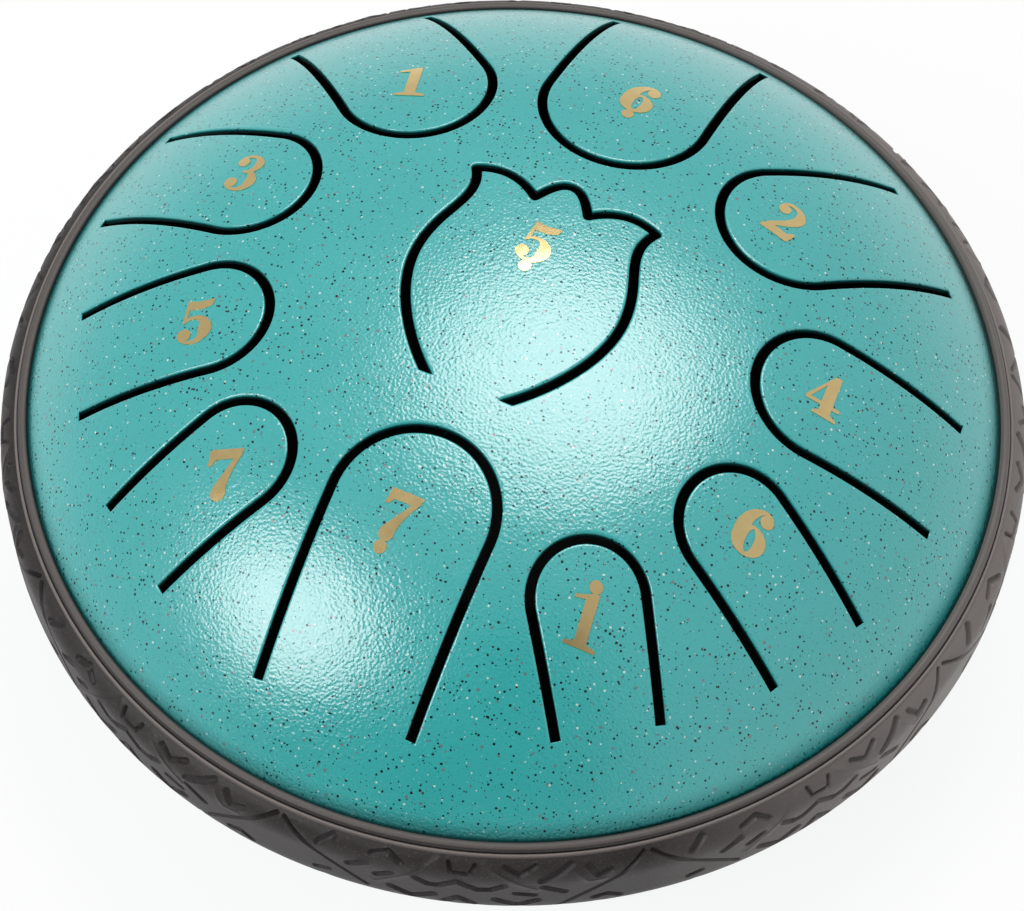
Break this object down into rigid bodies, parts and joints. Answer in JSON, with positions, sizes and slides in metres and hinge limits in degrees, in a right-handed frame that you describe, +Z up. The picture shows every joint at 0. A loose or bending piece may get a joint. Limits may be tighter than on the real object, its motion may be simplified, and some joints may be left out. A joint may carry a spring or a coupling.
{
  "type": "steel tongue drum",
  "caption": "Domed steel tongue drum with U-shaped tongues round the rim, a tulip tongue in the middle, a treaded rubber ring, a sound hole below and rubber feet.",
  "frame": {"origin": "on the floor under the middle of the drum, level with the soles of the feet", "axes": "+Z up, out of the middle of the dome; -Y towards the player; +X to the player's right"},
  "size_m": [0.2124, 0.2124, 0.0982],
  "materials": {
    "teal_coat": "glossy teal powder coat with a fine orange peel and dark and pale specks",
    "gold_foil": "satin gold foil",
    "ring_rubber": "matt grey-brown moulded rubber",
    "foot_rubber": "matt black rubber",
    "foot_steel": "zinc-plated steel",
    "weld_steel": "bare weld bead"
  },
  "bodies": {
    "drum": {"top_shell": "teal_coat", "bottom_shell": "teal_coat", "seam_weld": "weld_steel", "rubber_ring": "ring_rubber", "foot_1": "foot_rubber", "foot_2": "foot_rubber", "foot_3": "foot_rubber", "foot_4": "foot_rubber", "foot_washers": "foot_steel", "foot_screws": "foot_steel", "foot_nuts": "foot_steel"},
    "tongue_low_7": {"tongue_low_7": "teal_coat", "numeral_low_7": "gold_foil"},
    "tongue_high_1": {"tongue_high_1": "teal_coat", "numeral_high_1": "gold_foil"},
    "tongue_6": {"tongue_6": "teal_coat", "numeral_6": "gold_foil"},
    "tongue_4": {"tongue_4": "teal_coat", "numeral_4": "gold_foil"},
    "tongue_2": {"tongue_2": "teal_coat", "numeral_2": "gold_foil"},
    "tongue_low_6": {"tongue_low_6": "teal_coat", "numeral_low_6": "gold_foil"},
    "tongue_1": {"tongue_1": "teal_coat", "numeral_1": "gold_foil"},
    "tongue_3": {"tongue_3": "teal_coat", "numeral_3": "gold_foil"},
    "tongue_5": {"tongue_5": "teal_coat", "numeral_5": "gold_foil"},
    "tongue_7": {"tongue_7": "teal_coat", "numeral_7": "gold_foil"},
    "tongue_low_5": {"tongue_low_5": "teal_coat", "numeral_low_5": "gold_foil"}
  },
  "joints": [
    {"name": "tongue_low_7_bend", "type": "hinge", "parent": "drum", "child": "tongue_low_7", "pos_m": [0, -0.086, 0.07226], "axis": [-1, 0, 0], "range_deg": [-0.6, 0.6], "stiffness_Nm_per_rad": 2.766},
    {"name": "tongue_high_1_bend", "type": "hinge", "parent": "drum", "child": "tongue_high_1", "pos_m": [0.04997, -0.06944, 0.07264], "axis": [-0.8231, -0.5678, 0], "range_deg": [-0.6, 0.6], "stiffness_Nm_per_rad": 0.449},
    {"name": "tongue_6_bend", "type": "hinge", "parent": "drum", "child": "tongue_6", "pos_m": [0.08006, -0.03657, 0.07053], "axis": [-0.4431, -0.8965, 0], "range_deg": [-0.6, 0.6], "stiffness_Nm_per_rad": 0.664},
    {"name": "tongue_4_bend", "type": "hinge", "parent": "drum", "child": "tongue_4", "pos_m": [0.0889, 0.0114, 0.06906], "axis": [0.0941, -0.9956, 0], "range_deg": [-0.6, 0.6], "stiffness_Nm_per_rad": 1.084},
    {"name": "tongue_2_bend", "type": "hinge", "parent": "drum", "child": "tongue_2", "pos_m": [0.06438, 0.06517, 0.06717], "axis": [0.6947, -0.7193, 0], "range_deg": [-0.6, 0.6], "stiffness_Nm_per_rad": 1.734},
    {"name": "tongue_low_6_bend", "type": "hinge", "parent": "drum", "child": "tongue_low_6", "pos_m": [0, 0.094, 0.06473], "axis": [1, 0, 0], "range_deg": [-0.6, 0.6], "stiffness_Nm_per_rad": 3.625},
    {"name": "tongue_1_bend", "type": "hinge", "parent": "drum", "child": "tongue_1", "pos_m": [-0.06654, 0.06726, 0.06408], "axis": [0.6947, 0.7193, 0], "range_deg": [-0.6, 0.6], "stiffness_Nm_per_rad": 2.261},
    {"name": "tongue_3_bend", "type": "hinge", "parent": "drum", "child": "tongue_3", "pos_m": [-0.09309, 0.0118, 0.06491], "axis": [0.0941, 0.9956, 0], "range_deg": [-0.6, 0.6], "stiffness_Nm_per_rad": 1.308},
    {"name": "tongue_5_bend", "type": "hinge", "parent": "drum", "child": "tongue_5", "pos_m": [-0.08024, -0.03666, 0.07035], "axis": [-0.4431, 0.8965, 0], "range_deg": [-0.6, 0.6], "stiffness_Nm_per_rad": 0.884},
    {"name": "tongue_7_bend", "type": "hinge", "parent": "drum", "child": "tongue_7", "pos_m": [-0.05065, -0.07042, 0.07163], "axis": [-0.8231, 0.5678, 0], "range_deg": [-0.6, 0.6], "stiffness_Nm_per_rad": 0.557},
    {"name": "tongue_low_5_bend", "type": "hinge", "parent": "drum", "child": "tongue_low_5", "pos_m": [-0.0007, -0.0235, 0.09601], "axis": [-1, 0, 0], "range_deg": [-0.6, 0.6], "stiffness_Nm_per_rad": 3.25}
  ]
}
